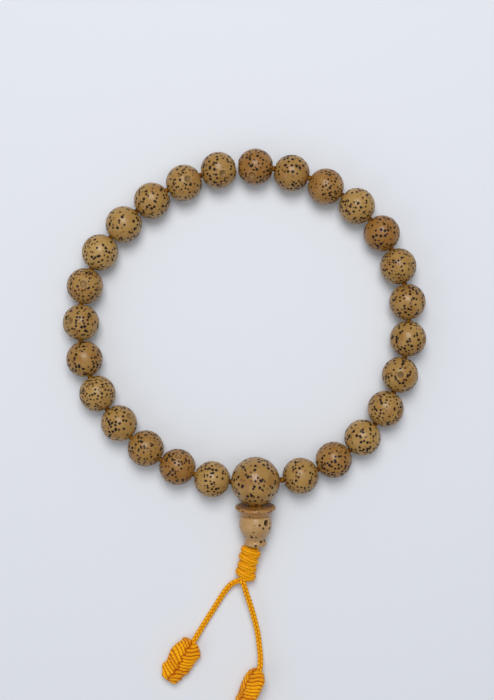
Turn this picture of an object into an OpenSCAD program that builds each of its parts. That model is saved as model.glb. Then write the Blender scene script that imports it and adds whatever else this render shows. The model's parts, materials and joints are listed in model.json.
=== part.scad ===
// Wrist mala: round seed beads on a braided cord, a three-hole guru bead, a turned
// stupa below it, a snake knot, and two tails that each end in a wrapped knot.
// Millimetres, +Z up, lying on z = 0. The tassel points along -Y.

/* [Beads] */
// Number of small beads on the loop, even
bead_count = 26; // [18:2:26]
// Diameter of a small bead
bead_d = 8; // [6.4:0.1:12]
// Depth of the countersink at each mouth of a bore
mouth_depth = 0.25; // [0.1:0.05:0.4]
// Sideways play of a bead on its cord
bead_play = 0.3; // [0:0.05:0.4]
// Bend of the cord between two small beads at which they touch, in degrees
touching_bend = 22; // [18:0.5:30]
// Width of the round pit that each seed has
moon_d = 1.35; // [0.8:0.05:2]
// Depth of that pit
moon_depth = 0.4; // [0.2:0.05:0.6]

/* [Guru bead] */
// Diameter of the guru bead
guru_d = 10.8; // [9:0.1:16]
// Swing of the tassel to each side, in degrees
tassel_swing = 8; // [4:0.5:10]
// Gap left beside the strands in the guru when the tassel has swung
swing_room = 0.2; // [0.1:0.05:0.4]
// Free length of cord between the guru and the first bead
guru_gap_first = 0.15; // [0.12:0.01:1]
// Free length of cord between the guru and the last bead
guru_gap_last = 0.6; // [0.12:0.01:1]

/* [Cord] */
// Diameter of the braided cord
cord_d = 1.2; // [1:0.02:1.5]
// Gap between the cord and the bore of a bead that has used up its play
bore_gap = 0.1; // [0.1:0.05:0.3]
// How far the round end of a link stands out past the cord's own radius
knuckle_lip = 0.1; // [0.05:0.05:0.1]
// Gap that every hinge in the cord works in
hinge_clearance = 0.05; // [0.03:0.01:0.1]
// Gap between the two strands that run side by side through the stupa
strand_gap = 0.04; // [0.02:0.01:0.1]

/* [Stupa] */
// Gap between the guru and the stupa's seat
seat_gap = 0.3; // [0.2:0.05:0.6]
// Distance from the guru's surface to the saucer's flat face
saucer_gap = 0.1; // [0.05:0.05:0.5]
// Diameter of the saucer's rim
saucer_d = 9; // [7:0.1:10.5]
// Thickness of the saucer's rim
saucer_rim = 1.1; // [0.6:0.1:1.6]
// Length of the cone under the saucer
saucer_cone = 1.1; // [0.6:0.1:1.6]
// Diameter of the neck between saucer and belly
neck_d = 6.4; // [5:0.1:7]
// Largest diameter of the belly
belly_d = 7.3; // [6:0.1:9]
// Length from the neck to the belly's widest place
belly_drop = 2; // [1:0.1:3]
// Length from there to the waist
waist_drop = 3.2; // [2:0.1:5]
// Diameter of the waist
waist_d = 4.6; // [4.3:0.1:6]
// Diameter of the foot
foot_d = 5; // [4.5:0.1:7]
// Length of the foot
foot_h = 1.5; // [0.8:0.1:2.5]
// Size of the bevel on the stupa's turned edges
edge = 0.25; // [0.1:0.05:0.3]
// Gap between the strands and the stupa's bore
stupa_bore_gap = 0.18; // [0.15:0.01:0.3]
// Diameter of the round hole in the belly's side
stupa_hole_d = 1.4; // [0.8:0.1:2]
// Depth of that hole
stupa_hole_depth = 1; // [0.5:0.1:1.4]
// Turn of that hole round the stupa, from the right-hand side upwards, in degrees
stupa_hole_turn = 46; // [0:1:90]
// Distance from the belly's widest place up to that hole
stupa_hole_rise = 0.9; // [0:0.1:1.2]

/* [Snake knot] */
// Number of lobes stacked along the knot
lobe_count = 4; // [3:1:6]
// Width of the knot's first lobe
knot_w = 4.8; // [3.6:0.1:6]
// Width of the knot's last lobe
knot_end_w = 4.2; // [3:0.1:6]
// Thickness of a lobe, front to back
lobe_t = 3; // [2.6:0.1:3.6]
// Length of a lobe along the knot
lobe_l = 2.4; // [2:0.1:3]
// Lean of each lobe, to alternate sides, in degrees
lobe_lean = 12; // [0:1:20]
// Distance from one lobe to the next
lobe_pitch = 1.75; // [1.4:0.05:2.2]
// Gap between the stupa's foot and the first lobe
knot_gap = 0.2; // [0.1:0.05:0.6]
// Sideways lean of the knot, in degrees
knot_lean = 12; // [0:1:15]
// Distance from the stem's line sideways to the first lobe's middle
knot_shift = 1; // [0:0.1:1.2]
// Gap between the knot's end and the place where the tails' own tubes start
exit_gap = 0.3; // [0.2:0.05:0.6]
// Gap between the two tails where one lies over the other
tail_gap = 0.1; // [0.1:0.05:0.4]

/* [End knots] */
// Length of a wrapped end knot
end_l = 10.4; // [8:0.1:14]
// Width of a wrapped end knot
end_w = 5.9; // [4.6:0.1:8]
// Thickness of a wrapped end knot
end_t = 3.4; // [2.6:0.1:4]
// Height of the lowest piece of the tails above the surface
tail_lift = 0.05; // [0.02:0.01:0.2]

/* [Lay of the loop] */
// Waves in the loop's outline: [waves per turn, share of the radius, angle of a crest]
LOOP_WAVES = [[2, 0.021, 5], [3, 0.0115, 59], [5, 0.0045, 22]];
// Angle at which the loop leaves the guru, seen from above
loop_start = -95.8; // [-110:0.1:-80]

/* [Hidden] */
$fn = 48;
SEED = [0.72, 0.56, 0.33];
SEED_PALE = [0.74, 0.64, 0.47];
CORD = [0.93, 0.6, 0.05];

// Share of its play that each bead has slipped outwards
SLIPS = [1, 0, 0, 0, 1, 0.7, 0, 1, 1, 0, 0, 0, 1,
         1, 0.3, 0, 1, 1, 0.3, 0.7, 1, 0.7, 1, 0.3, 0, 1];
// Place of each bead's pit: [angle from the bore, angle round the bore from the top]
MOONS = [[100, -60], [80, -40], [90, 170], [95, -50], [90, 200], [80, 150],
         [85, 30], [85, 0], [80, 50], [90, 160], [100, 190], [75, 0], [80, -20],
         [100, -35], [90, 180], [85, 140], [95, 210], [90, 170], [80, 190],
         [90, 150], [90, 55], [90, -5], [100, 45], [90, 175], [95, 205], [85, 160]];

// The bores follow the cord that runs through them.
strands_w = 2 * cord_d + strand_gap;
bead_bore_d = cord_d + 2 * (bead_play + bore_gap);
stupa_bore_d = strands_w + 2 * stupa_bore_gap;
guru_mouth_d = strands_w + guru_d * sin(tassel_swing) + 2 * swing_room;
guru_stem_bore_d = strands_w + guru_d / 2 * sin(tassel_swing) + 2 * swing_room;
knuckle_r = cord_d / 2 + knuckle_lip;

// The loop of hinge points. Each bead sits midway between two of them.
link_l = bead_d / cos(touching_bend / 2);
guru_reach_first = guru_d / 2 + guru_gap_first;
guru_reach_last = guru_d / 2 + guru_gap_last;
loop_l = bead_count * link_l + guru_reach_first + guru_reach_last;
STEPS = 240;

function sum(v, i = 0) = i < len(v) ? v[i] + sum(v, i + 1) : 0;
function outline_r(a) = 1 + sum([for (w = LOOP_WAVES) w[1] * cos(w[0] * (a - w[2]))]);
function outline(a) = outline_r(a) * [cos(a), sin(a)];
function step_angle(k) = loop_start - 360 * k / STEPS;

OUTLINE = [for (k = [0:STEPS]) outline(step_angle(k))];
function stride(k) = k < STEPS ? norm(OUTLINE[k + 1] - OUTLINE[k]) : 0;
RUN = [for (k = 0, s = 0; k <= STEPS; s = s + stride(k), k = k + 1) s];
ANGLE_AT = [for (k = [0:STEPS]) [RUN[k], step_angle(k)]];
UNIT_PIVOTS = [for (i = [0:bead_count]) outline(lookup(i * link_l / loop_l * RUN[STEPS], ANGLE_AT))];
function unit_link(i) = UNIT_PIVOTS[(i + 1) % (bead_count + 1)] - UNIT_PIVOTS[i];
UNIT_L = sum([for (i = [0:bead_count]) norm(unit_link(i))]);
loop_r = loop_l / UNIT_L;

function raw_pivot(i) = UNIT_PIVOTS[i] * loop_r;
function link_dir(i) = (raw_pivot(i + 1) - raw_pivot(i)) / norm(raw_pivot(i + 1) - raw_pivot(i));
function heading(i) = atan2(link_dir(i)[1], link_dir(i)[0]);
function outward(i) = [-link_dir(i)[1], link_dir(i)[0]];
function raw_bead(i) = (raw_pivot(i) + raw_pivot(i + 1)) / 2 + SLIPS[i % len(SLIPS)] * bead_play * outward(i);
guru_share = guru_reach_last / (guru_reach_first + guru_reach_last);
raw_guru = raw_pivot(bead_count) + guru_share * (raw_pivot(0) - raw_pivot(bead_count));

// The stupa, measured along the stem from the guru's centre.
seat_r = guru_d / 2 + seat_gap;
saucer_at = guru_d / 2 + saucer_gap;
rim_end = saucer_at + saucer_rim;
neck_at = rim_end + saucer_cone;
belly_at = neck_at + belly_drop;
waist_at = belly_at + waist_drop;
foot_end = waist_at + foot_h;
rim_floor_gap = 0.02;
// The stem tilts down until the saucer, the belly or the foot meets the surface.
function resting_tilt(at, r) = asin((guru_d / 2 - rim_floor_gap) / norm([at, r])) - atan2(r, at);
stem_tilt = min(resting_tilt(rim_end, saucer_d / 2), resting_tilt(belly_at, belly_d / 2),
                resting_tilt(foot_end, foot_d / 2));

// The origin is under the middle of the beads, guru and stupa.
BEADS_X = [for (i = [0:bead_count - 1]) raw_bead(i)[0]];
BEADS_Y = [for (i = [0:bead_count - 1]) raw_bead(i)[1]];
low_x = min(BEADS_X) - bead_d / 2;
high_x = max(BEADS_X) + bead_d / 2;
high_y = max(BEADS_Y) + bead_d / 2;
low_y = raw_guru[1] - foot_end * cos(stem_tilt) - (foot_d / 2 - edge) * sin(stem_tilt);
middle = [(low_x + high_x) / 2, (low_y + high_y) / 2];

function pivot(i) = concat(raw_pivot(i) - middle, bead_d / 2);
function bead_at(i) = concat(raw_bead(i) - middle, bead_d / 2);
guru_at = concat(raw_guru - middle, guru_d / 2);
function along_stem(a) = guru_at + a * [0, -cos(stem_tilt), -sin(stem_tilt)];

// The two strands through the guru and the stupa.
strand_x = (cord_d + strand_gap) / 2;
strand_start = cord_d;
strand_end = foot_end + knot_gap + lobe_l / 3;

// Each tail's route, from where it leaves the knot.
LEFT_ROUTE = [[0, 0, 0], [-1.1, -0.5, -0.1], [-2.2, -1.3, -0.35], [-3.2, -2.5, -0.6],
              [-4.2, -4, -0.8], [-5.6, -6.3, -0.95], [-7.4, -9.1, -0.9],
              [-9.1, -11.8, -0.6], [-10.3, -13.7, 0]];
RIGHT_ROUTE = [[0, 0, 0], [0.4, -1.1, -0.05], [0.8, -2.5, -0.25], [1.7, -5.3, -0.7],
               [2.6, -8.4, -1.05], [3.4, -11.8, -1.2], [3.8, -14.9, -1.05], [4, -17.3, -0.7],
               [3.8, -19.7, -0.2]];
// How far to the left of the knot's end each tail leaves it
LEFT_EXIT = 1.4;
RIGHT_EXIT = 0.8;

// The left tail and its end knot lie on the surface. The right tail lies over it.
dip = max([for (p = LEFT_ROUTE) -p[2]]);
exit_left_z = tail_lift + max(end_t / 2, cord_d / 2 + dip);
exit_right_z = exit_left_z + cord_d + tail_gap;
knot_end_z = (exit_left_z + exit_right_z) / 2;

// The snake knot hangs below the foot and droops from there to the tails.
knot_top = along_stem(foot_end + knot_gap) + [-knot_shift, -lobe_l / 2, 0];
function lobe_share(k) = k / (lobe_count - 1);
function lobe_at(k) =
    knot_top + k * lobe_pitch * [-sin(knot_lean), -cos(knot_lean), 0]
    + lobe_share(k) * [0, 0, knot_end_z - knot_top[2]];
function lobe_w(k) = knot_w + (knot_end_w - knot_w) * lobe_share(k);
knot_end = lobe_at(lobe_count - 1) + [0, -lobe_l / 2 - exit_gap, 0];
exit_left = [knot_end[0] - LEFT_EXIT, knot_end[1], exit_left_z];
exit_right = [knot_end[0] - RIGHT_EXIT, knot_end[1], exit_right_z];

// Each end knot: [direction seen from above, turn about its own length]. The right one
// leans on its edge, no further than the height of its tail allows.
right_end_z = exit_right_z + RIGHT_ROUTE[len(RIGHT_ROUTE) - 1][2] - tail_lift;
function square_share(low, x, high) = max(0, min(1, (x * x - low * low) / (high * high - low * low)));
steepest_lean = asin(sqrt(square_share(end_t, 2 * right_end_z, end_w)));
LEFT_END = [236, 0];
RIGHT_END = [245, min(55, steepest_lean)];

function numbered(stem, i) = str(stem, i < 9 ? "0" : "", i + 1);
BEAD_NODES = [for (i = [0:bead_count - 1]) numbered("bead_", i)];
CORD_NODES = [for (i = [0:bead_count - 1]) numbered("cord_link_", i)];

// A ball that cuts a round pit of a width and depth into a surface at x = 0.
function pit_ball_r(d, depth) = (d * d / 4 + depth * depth) / (2 * depth);

// A countersink that opens at distance reach from the middle, along +Z.
module mouth(reach, bore_d) {
    translate([0, 0, reach - mouth_depth])
        cylinder(d1 = bore_d, d2 = bore_d + 4 * mouth_depth, h = 2 * mouth_depth);
}

// A bead is drawn with its bore along Z and its pit towards -X, then laid on the loop.
module bead(i) {
    pit_r = pit_ball_r(moon_d, moon_depth);
    reach = sqrt(bead_d * bead_d - bead_bore_d * bead_bore_d) / 2;
    moon = MOONS[i % len(MOONS)];
    color(SEED)
        translate(bead_at(i)) rotate([0, 0, heading(i)]) rotate([-moon[1], 0, 0]) rotate([0, 90, 0])
            difference() {
                sphere(d = bead_d, $fn = 96);
                cylinder(d = bead_bore_d, h = bead_d + 2, center = true);
                for (turn = [0, 180])
                    rotate([turn, 0, 0]) mouth(reach, bead_bore_d);
                rotate([0, -moon[0], 0]) rotate([0, -90, 0])
                    translate([bead_d / 2 - moon_depth + pit_r, 0, 0]) sphere(r = pit_r);
            }
}

// A length of cord inside one bead. The end nearer the guru is round in plan and
// works in the hollow end of its neighbour, so the pair bends about the hinge point.
module cord_link(i) {
    first_half = i < bead_count / 2;
    near = first_half ? pivot(i) : pivot(i + 1);
    turn = heading(i) + (first_half ? 0 : 180);
    tall = 2 * cord_d;
    color(CORD)
        translate(near) rotate([0, 0, turn])
            difference() {
                intersection() {
                    translate([-cord_d, 0, 0]) rotate([0, 90, 0])
                        cylinder(d = cord_d, h = link_l + cord_d, $fn = 96);
                    union() {
                        cylinder(r = knuckle_r, h = tall, center = true);
                        translate([0, -cord_d, -cord_d]) cube([link_l, 2 * cord_d, tall]);
                    }
                }
                translate([link_l, 0, 0])
                    cylinder(r = knuckle_r + hinge_clearance, h = tall, center = true);
            }
}

// Moves what is drawn along +Z onto the stem, with z = 0 at the guru's centre.
module on_stem() {
    translate(guru_at) rotate([90 + stem_tilt, 0, 0]) children();
}

module guru_bead() {
    side_reach = sqrt(guru_d * guru_d - bead_bore_d * bead_bore_d) / 2;
    color(SEED)
        difference() {
            on_stem() rotate([0, 0, 90]) sphere(d = guru_d, $fn = 120);
            for (arm = [pivot(0) - guru_at, pivot(bead_count) - guru_at])
                translate(guru_at)
                    rotate([0, 90 + atan2(-arm[2], norm([arm[0], arm[1]])), atan2(arm[1], arm[0])]) {
                        cylinder(d = bead_bore_d, h = guru_d);
                        mouth(side_reach, bead_bore_d);
                    }
            on_stem() {
                translate([0, 0, -guru_stem_bore_d / 2])
                    cylinder(d = guru_stem_bore_d, h = guru_d);
                translate([0, 0, guru_d / 4])
                    cylinder(d1 = guru_stem_bore_d, d2 = guru_mouth_d, h = guru_d / 4);
            }
        }
}

// The cord that comes in at one side of the guru and goes out at the other.
module guru_cord() {
    first = pivot(0);
    last = pivot(bead_count);
    bend_shares = [1, 0.35, 0.15];
    route = concat([for (share = bend_shares) guru_at + share * (first - guru_at)],
                   [for (k = [len(bend_shares) - 1:-1:0]) guru_at + bend_shares[k] * (last - guru_at)]);
    color(CORD)
        difference() {
            cord_tube(route, 12);
            for (end = [first, last])
                translate(end) cylinder(r = knuckle_r + hinge_clearance, h = 3 * cord_d, center = true);
        }
}

// Outline of the turned stupa: [radius, distance along the stem].
function quarter(n) = [for (k = [0:n]) k / n];
STUPA_OUTLINE = concat(
    [[0, saucer_at], [saucer_d / 2 - edge, saucer_at], [saucer_d / 2, saucer_at + edge],
     [saucer_d / 2, rim_end - edge], [saucer_d / 2 - edge, rim_end]],
    [for (t = quarter(7)) [neck_d / 2 + (belly_d - neck_d) / 2 * sin(90 * t), neck_at + belly_drop * t]],
    [for (t = quarter(9)) if (t > 0)
        [waist_d / 2 + (belly_d - waist_d) / 2 * pow(cos(90 * t), 0.9), belly_at + waist_drop * t]],
    [for (t = quarter(4)) if (t > 0)
        [waist_d / 2 + (foot_d - waist_d) / 2 * sin(90 * t), waist_at + foot_h * 0.55 * t]],
    [[foot_d / 2, foot_end - edge], [foot_d / 2 - edge, foot_end], [0, foot_end]]);

module stupa() {
    color(SEED_PALE)
        difference() {
            on_stem() rotate_extrude($fn = 72) polygon(STUPA_OUTLINE);
            translate(guru_at) sphere(r = seat_r, $fn = 120);
            on_stem() translate([0, 0, saucer_at - 1])
                cylinder(d = stupa_bore_d, h = foot_end);
            on_stem() rotate([0, 0, stupa_hole_turn])
                translate([belly_d / 2 - stupa_hole_depth, 0, belly_at - stupa_hole_rise])
                    rotate([0, 90, 0]) cylinder(d = stupa_hole_d, h = 2 * stupa_hole_depth);
        }
}

// The two strands that hang from the guru's middle, tied into a snake knot.
module knotted_stem() {
    color(CORD) {
        on_stem() for (side = [-1, 1])
            translate([side * strand_x, 0, strand_start])
                cylinder(d = cord_d, h = strand_end - strand_start);
        for (k = [0:lobe_count - 1])
            translate(lobe_at(k)) snake_lobe(lobe_w(k), k % 2 == 0 ? lobe_lean : -lobe_lean);
    }
}

// One lobe of the snake knot: a fat strand lying across it.
module snake_lobe(w, lean) {
    rotate([0, 0, lean]) hull() for (side = [-1, 1])
        translate([side * (w - lobe_l) / 2, 0, 0])
            scale([lobe_l / lobe_t, lobe_l / lobe_t, 1]) sphere(d = lobe_t, $fn = 20);
}

// A closed skin over rings of the same number of points, one after another.
module loft(rings) {
    n = len(rings);
    sides = len(rings[0]);
    walls = [for (i = [0:n - 2], k = [0:sides - 1])
        let (a = i * sides + k, b = i * sides + (k + 1) % sides)
        [a, b, b + sides, a + sides]];
    polyhedron([for (r = rings) each r],
               concat([[for (k = [sides - 1:-1:0]) k]], walls,
                      [[for (k = [0:sides - 1]) (n - 1) * sides + k]]));
}

// A tube round a route: one ring at each point, square to the way the route runs.
function unit(v) = v / norm(v);
function way(route, i) = unit(route[min(i + 1, len(route) - 1)] - route[max(i - 1, 0)]);
function ring(at, dir, r, sides) =
    let (across = unit(cross(dir, [0, 0, 1])), up = cross(across, dir))
    [for (k = [0:sides - 1]) at + r * (cos(360 * k / sides) * across + sin(360 * k / sides) * up)];

module cord_tube(route, sides = 8) {
    loft([for (i = [0:len(route) - 1]) ring(route[i], way(route, i), cord_d / 2, sides)]);
}

function placed(route, exit) = [for (p = route) exit + p];
LEFT_TAIL = placed(LEFT_ROUTE, exit_left);
RIGHT_TAIL = placed(RIGHT_ROUTE, exit_right);

module tail_left() {
    color(CORD) cord_tube(LEFT_TAIL);
}

module tail_right() {
    color(CORD) cord_tube(RIGHT_TAIL);
}

// A flat wrapped knot that starts where its tail ends and runs along a direction.
// Its width and thickness swell from the entry and close at the far end as
// (1 - |2t - 1|^power)^(1 / power), t running from 0 to 1 along it.
function swell(t, power) = pow(1 - pow(abs(2 * t - 1), power), 1 / power);
KNOT_RINGS = 16;
KNOT_SIDES = 20;
function knot_ring(t) =
    [for (k = [0:KNOT_SIDES - 1])
        [end_l * t, end_w / 2 * swell(t, 2.6) * cos(360 * k / KNOT_SIDES),
         end_t / 2 * swell(t, 2.6) * sin(360 * k / KNOT_SIDES)]];

module end_knot(tail, lay) {
    color(CORD)
        translate(tail[len(tail) - 1]) rotate([0, 0, lay[0]]) rotate([lay[1], 0, 0])
            loft([for (k = [0:KNOT_RINGS]) knot_ring((1 - cos(170 * k / KNOT_RINGS + 5)) / 2)]);
}

for (i = [0:bead_count - 1]) {
    bead(i);
    cord_link(i);
}
guru_bead();
guru_cord();
stupa();
knotted_stem();
tail_left();
tail_right();
end_knot(LEFT_TAIL, LEFT_END);  // end_knot_left
end_knot(RIGHT_TAIL, RIGHT_END);  // end_knot_right
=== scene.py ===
"""Looks of a wrist mala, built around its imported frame.

Round seed beads, a three-hole guru bead and a turned stupa hang on a braided cord, which is
tied into a snake knot and ends in two tails with wrapped end knots. Lengths are in metres.
"""

import json
import logging
import math
from dataclasses import dataclass, field
from enum import Enum

import bpy
import numpy as np
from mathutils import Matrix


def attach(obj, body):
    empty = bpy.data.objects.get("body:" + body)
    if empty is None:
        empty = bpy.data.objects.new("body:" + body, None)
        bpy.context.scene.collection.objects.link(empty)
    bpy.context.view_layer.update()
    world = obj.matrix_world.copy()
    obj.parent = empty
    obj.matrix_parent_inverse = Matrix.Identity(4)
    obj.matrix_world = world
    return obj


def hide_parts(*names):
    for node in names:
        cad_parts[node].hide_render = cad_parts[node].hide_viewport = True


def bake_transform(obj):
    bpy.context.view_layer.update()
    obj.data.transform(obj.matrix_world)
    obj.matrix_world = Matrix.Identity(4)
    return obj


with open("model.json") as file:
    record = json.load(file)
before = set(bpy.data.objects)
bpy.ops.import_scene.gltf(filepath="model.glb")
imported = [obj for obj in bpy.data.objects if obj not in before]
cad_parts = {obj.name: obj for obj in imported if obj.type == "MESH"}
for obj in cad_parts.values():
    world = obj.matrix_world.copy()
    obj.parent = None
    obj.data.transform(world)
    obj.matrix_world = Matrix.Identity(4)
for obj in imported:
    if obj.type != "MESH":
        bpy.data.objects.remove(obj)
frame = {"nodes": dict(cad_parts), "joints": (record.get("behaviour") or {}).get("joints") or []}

MM = 0.001
LOG = logging.getLogger("mala")
UP = np.array([0.0, 0.0, 1.0])


# ---------------------------------------------------------------- numbers and paths


def unit(vectors: np.ndarray) -> np.ndarray:
    """Scales each vector to length 1, along the last axis."""
    return vectors / np.linalg.norm(vectors, axis=-1, keepdims=True)


def smooth_step(low: float, high: float, value: np.ndarray) -> np.ndarray:
    """Eases from 0 at low to 1 at high: with t clipped to 0 to 1, three t squared less two t cubed."""
    t = np.clip((value - low) / (high - low), 0.0, 1.0)
    return t * t * (3.0 - 2.0 * t)


def bell(offset: np.ndarray, width: float) -> np.ndarray:
    """Bell curve of height 1: e to the power of less the squared offset, in widths."""
    return np.exp(-((offset / width) ** 2))


def crowded_angles(middle: float, count: int) -> np.ndarray:
    """Angles of a whole turn, crowded round the middle one: t less 0.6 sin t."""
    step = np.linspace(-math.pi, math.pi, count, endpoint=False)
    return middle + step - 0.6 * np.sin(step)


def distances(points: np.ndarray) -> np.ndarray:
    """Distance of each point from the first one, along the points."""
    return np.concatenate([[0.0], np.cumsum(np.linalg.norm(np.diff(points, axis=0), axis=1))])


def round_ridge(phase: np.ndarray, power: float = 2.0) -> np.ndarray:
    """Height of strands lying side by side.

    The phase counts strands. Across one strand, c runs from -1 to 1, and the height is the
    square root of one less |c| to the given power.

    Args:
        phase: Count of strands at each point; each whole number starts a new strand.
        power: Flatness of a strand's crown; 2 is a half circle.

    Returns:
        Heights from 0 in a groove to 1 on a crown.
    """
    across = 2.0 * (phase - np.floor(phase)) - 1.0
    return np.sqrt(np.clip(1.0 - np.abs(across) ** power, 0.0, 1.0))


def smooth_path(points: np.ndarray, count: int) -> np.ndarray:
    """Draws one smooth curve through the points, evenly spaced along its length.

    Each stretch is a cubic whose end slopes are the mean slopes at its two points, with the
    distance along the points as the parameter.

    Args:
        points: The points to pass through, one a row.
        count: Number of points wanted.

    Returns:
        The curve as count rows.
    """
    run = distances(points)
    slope = np.gradient(points, run, axis=0)
    at = np.linspace(0.0, run[-1], 8 * count)
    k = np.clip(np.searchsorted(run, at, side="right") - 1, 0, len(run) - 2)
    width = (run[k + 1] - run[k])[:, None]
    t = ((at - run[k])[:, None]) / width
    curve = (
        (2 * t**3 - 3 * t**2 + 1) * points[k]
        + (t**3 - 2 * t**2 + t) * width * slope[k]
        + (3 * t**2 - 2 * t**3) * points[k + 1]
        + (t**3 - t**2) * width * slope[k + 1]
    )
    length = distances(curve)
    even = np.linspace(0.0, length[-1], count)
    return np.stack([np.interp(even, length, curve[:, axis]) for axis in range(3)], axis=1)


def path_length(path: np.ndarray) -> float:
    """Length of a path, the sum of its steps."""
    return float(np.linalg.norm(np.diff(path, axis=0), axis=1).sum())


# ---------------------------------------------------------------- meshes


def surface(
    name: str,
    points: np.ndarray,
    caps: tuple[np.ndarray, np.ndarray] | None = None,
    fields: dict[str, np.ndarray] | None = None,
    along: np.ndarray | None = None,
) -> bpy.types.Object:
    """Makes a closed mesh from a grid of points.

    Columns run round and close on themselves. Rows close on themselves too, unless caps gives
    the two end points, where the mesh closes in fans. The faces are turned outwards by the
    sign of the enclosed volume, the sum over triangles of a . (b x c) / 6.

    Args:
        name: Name of the object.
        points: Grid of shape (rows, columns, 3).
        caps: End points before the first row and after the last one.
        fields: Named values on the grid, kept as float attributes of the points.
        along: Value of the UV map's second coordinate on each row; the first is the share of
            a turn. None leaves the mesh without a UV map.

    Returns:
        The object, linked to the scene, at the origin.
    """
    rows, cols = points.shape[:2]
    index = np.arange(rows * cols).reshape(rows, cols)
    right = np.roll(index, -1, axis=1)
    share = np.broadcast_to(np.arange(cols) / cols, (rows, cols))
    step = 1.0 / cols
    height = np.broadcast_to((np.zeros(rows) if along is None else along)[:, None], (rows, cols))
    flat = points.reshape(-1, 3)
    if caps is None:
        lower, lower_right = np.roll(index, -1, axis=0), np.roll(right, -1, axis=0)
        quads = np.stack([index, right, lower_right, lower], axis=-1).reshape(-1, 4)
        quad_u = np.stack([share, share + step, share + step, share], axis=-1).reshape(-1, 4)
        below = np.roll(height, -1, axis=0)
        quad_v = np.stack([height, height, below, below], axis=-1).reshape(-1, 4)
        fans = np.zeros((0, 3), int)
        fan_u = fan_v = np.zeros((0, 3))
    else:
        quads = np.stack([index[:-1], right[:-1], right[1:], index[1:]], axis=-1).reshape(-1, 4)
        quad_u = np.stack([share, share + step, share + step, share], axis=-1)[:-1].reshape(-1, 4)
        top, below = height[:-1], height[1:]
        quad_v = np.stack([top, top, below, below], axis=-1).reshape(-1, 4)
        first = np.full(cols, rows * cols)
        fans = np.concatenate(
            [
                np.stack([right[0], index[0], first], axis=-1),
                np.stack([index[-1], right[-1], first + 1], axis=-1),
            ]
        )
        turn = np.stack([share[0] + step, share[0], share[0] + step / 2], axis=-1)
        fan_u = np.concatenate([turn, turn[:, [1, 0, 2]]])
        fan_v = np.repeat([height[0, 0], height[-1, 0]], cols)[:, None] * np.ones((1, 3))
        flat = np.concatenate([flat, np.stack(caps)])
    corner = flat[quads]
    volume = np.einsum("ij,ij->", corner[:, 0], np.cross(corner[:, 1], corner[:, 2]))
    volume += np.einsum("ij,ij->", corner[:, 0], np.cross(corner[:, 2], corner[:, 3]))
    if volume < 0.0:
        quads, quad_u, quad_v = quads[:, ::-1], quad_u[:, ::-1], quad_v[:, ::-1]
        fans, fan_u, fan_v = fans[:, ::-1], fan_u[:, ::-1], fan_v[:, ::-1]
    mesh = bpy.data.meshes.new(name)
    mesh.from_pydata(flat.tolist(), [], quads.tolist() + fans.tolist())
    if along is not None:
        pairs = ((quad_u, quad_v), (fan_u, fan_v))
        uv = np.concatenate([np.stack(pair, -1).reshape(-1, 2) for pair in pairs])
        mesh.uv_layers.new(name="UVMap").data.foreach_set("uv", uv.astype(np.float32).ravel())
    for key, values in (fields or {}).items():
        data = np.zeros(len(flat), np.float32)
        data[: rows * cols] = np.broadcast_to(values, (rows, cols)).ravel()
        mesh.attributes.new(key, "FLOAT", "POINT").data.foreach_set("value", data)
    mesh.shade_smooth()
    made = bpy.data.objects.new(name, mesh)
    bpy.context.scene.collection.objects.link(made)
    return made


def dress(piece: bpy.types.Object, material: bpy.types.Material) -> None:
    """Gives a piece its one material."""
    piece.data.materials.clear()
    piece.data.materials.append(material)


# ---------------------------------------------------------------- shader tools


class Nodes:
    """Short way to build a node tree: nodes are placed in order and linked by socket name."""

    def __init__(self, tree: bpy.types.NodeTree) -> None:
        """Keeps the tree that the nodes go into."""
        self.tree = tree

    def add(self, kind: str, values: dict | None = None, **settings: object) -> bpy.types.Node:
        """Adds a node.

        Args:
            kind: The node's type name, without "ShaderNode" for shader nodes.
            values: Input sockets by name or number, each a value or a socket to link from.
            settings: Properties of the node itself.

        Returns:
            The node.
        """
        node = self.tree.nodes.new(kind if kind.startswith("Node") else "ShaderNode" + kind)
        node.location = (220 * len(self.tree.nodes), 0)
        for key, value in settings.items():
            setattr(node, key, value)
        for key, value in (values or {}).items():
            if isinstance(value, bpy.types.NodeSocket):
                self.tree.links.new(value, node.inputs[key])
            else:
                node.inputs[key].default_value = value
        return node

    def link(self, value: bpy.types.NodeSocket, socket: bpy.types.NodeSocket) -> None:
        """Links an output to an input."""
        self.tree.links.new(value, socket)

    def attribute(self, name: str) -> bpy.types.NodeSocket:
        """Adds an attribute of the points and returns its value."""
        return self.add("Attribute", attribute_name=name).outputs["Fac"]

    def math(self, operation: str, *terms: object, clamp: bool = False) -> bpy.types.NodeSocket:
        """Adds a Math node on up to three terms and returns its result."""
        made = self.add("Math", dict(enumerate(terms)), operation=operation, use_clamp=clamp)
        return made.outputs[0]

    def ease(self, value: object, low: object, high: object) -> bpy.types.NodeSocket:
        """Eases a value from 0 at low to 1 at high, and returns the result."""
        made = self.add(
            "MapRange",
            {"Value": value, "From Min": low, "From Max": high},
            interpolation_type="SMOOTHSTEP",
        )
        return made.outputs["Result"]

    def mix(self, share: object, first: object, second: object) -> bpy.types.NodeSocket:
        """Mixes two colours by a share and returns the result."""
        made = self.add("Mix", {0: share, 6: first, 7: second}, data_type="RGBA", blend_type="MIX")
        return made.outputs[2]

    def noise(self, place: object, scale: float, detail: float = 3.0) -> bpy.types.NodeSocket:
        """Adds a noise texture and returns its value."""
        return self.add("TexNoise", {"Vector": place, "Scale": scale, "Detail": detail}).outputs[0]


def new_material(name: str) -> tuple[bpy.types.Material, bpy.types.Node]:
    """Makes a material and returns it with its main shader."""
    made = bpy.data.materials.new(name)
    made.use_nodes = True
    return made, made.node_tree.nodes["Principled BSDF"]


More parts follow.
